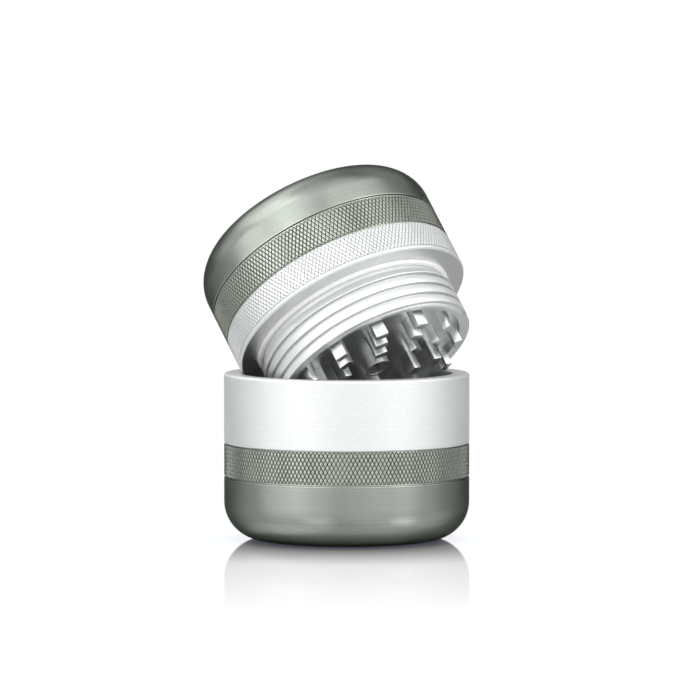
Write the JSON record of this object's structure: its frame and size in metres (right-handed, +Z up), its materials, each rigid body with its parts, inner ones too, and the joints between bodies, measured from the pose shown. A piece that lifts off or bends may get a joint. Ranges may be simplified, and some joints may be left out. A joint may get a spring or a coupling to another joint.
{
  "type": "twist grinder",
  "caption": "Round metal twist grinder with a catch cup, a screened chamber and a toothed lid with a screw-on storage cap, drawn with the lid leaning in the open mouth.",
  "frame": {"origin": "centre of the flat base of the catch cup", "axes": "+Z up along the axis of the cup and the chamber; the lid leans with its toothed face toward +X, -Y"},
  "size_m": [0.0607, 0.061, 0.0856],
  "materials": {
    "dark_anodised": "dark green-grey anodised, satin",
    "clear_anodised": "clear anodised, satin",
    "rubber": "black rubber",
    "nickel_plate": "nickel plated magnet",
    "stainless": "stainless steel",
    "nylon": "white nylon"
  },
  "bodies": {
    "cup": {"base_cup": "dark_anodised"},
    "seal_carrier": {"chamber_seal": "rubber"},
    "chamber_body": {"chamber": "clear_anodised", "milling_plate": "clear_anodised", "plate_magnet": "nickel_plate"},
    "screen": {"screen_gasket": "rubber", "screen_rim": "stainless", "screen_mesh": "stainless"},
    "ring": {"screen_ring": "clear_anodised"},
    "glide": {"glide_ring": "nylon"},
    "lid": {"toothed_lid": "clear_anodised", "hub_magnet": "nickel_plate"},
    "cap_seal_carrier": {"cap_seal": "rubber"},
    "cap": {"storage_cap": "dark_anodised"}
  },
  "joints": [
    {"name": "chamber_rise", "type": "slide", "parent": "cup", "child": "seal_carrier", "axis": [0, 0, 1], "range_m": [0, 0.0054]},
    {"name": "chamber_turn", "type": "hinge", "parent": "seal_carrier", "child": "chamber_body", "pos_m": [0, 0, 0.0221], "axis": [0, 0, 1], "range_deg": [0, 972]},
    {"name": "screen_drop", "type": "slide", "parent": "chamber_body", "child": "screen", "axis": [0, 0, -1], "range_m": [0, 0.0015]},
    {"name": "screen_ring_turn", "type": "hinge", "parent": "screen", "child": "ring", "pos_m": [0, 0, 0.0138], "axis": [0, 0, -1], "range_deg": [0, 360]},
    {"name": "lid_tip", "type": "hinge", "parent": "chamber_body", "child": "glide", "pos_m": [0.00125, -0.00137, 0.05345], "axis": [0.7373, 0.6756, 0], "range_deg": [0, 37.7]},
    {"name": "lid_turn", "type": "hinge", "parent": "glide", "child": "lid", "pos_m": [0.00142, -0.00155, 0.0501], "axis": [-0.4131, 0.4509, 0.7912], "continuous": true},
    {"name": "cap_turn", "type": "hinge", "parent": "lid", "child": "cap_seal_carrier", "pos_m": [-0.00189, 0.00206, 0.05643], "axis": [-0.4131, 0.4509, 0.7912], "range_deg": [0, 756]},
    {"name": "cap_rise", "type": "slide", "parent": "cap_seal_carrier", "child": "cap", "axis": [-0.4131, 0.4509, 0.7912], "range_m": [0, 0.0042]}
  ],
  "couplings": [
    {"joint": "chamber_rise", "follows": "chamber_turn", "m_per_rad": 0.00031831},
    {"joint": "screen_drop", "follows": "screen_ring_turn", "m_per_rad": 0.00023873},
    {"joint": "cap_rise", "follows": "cap_turn", "m_per_rad": 0.00031831}
  ]
}
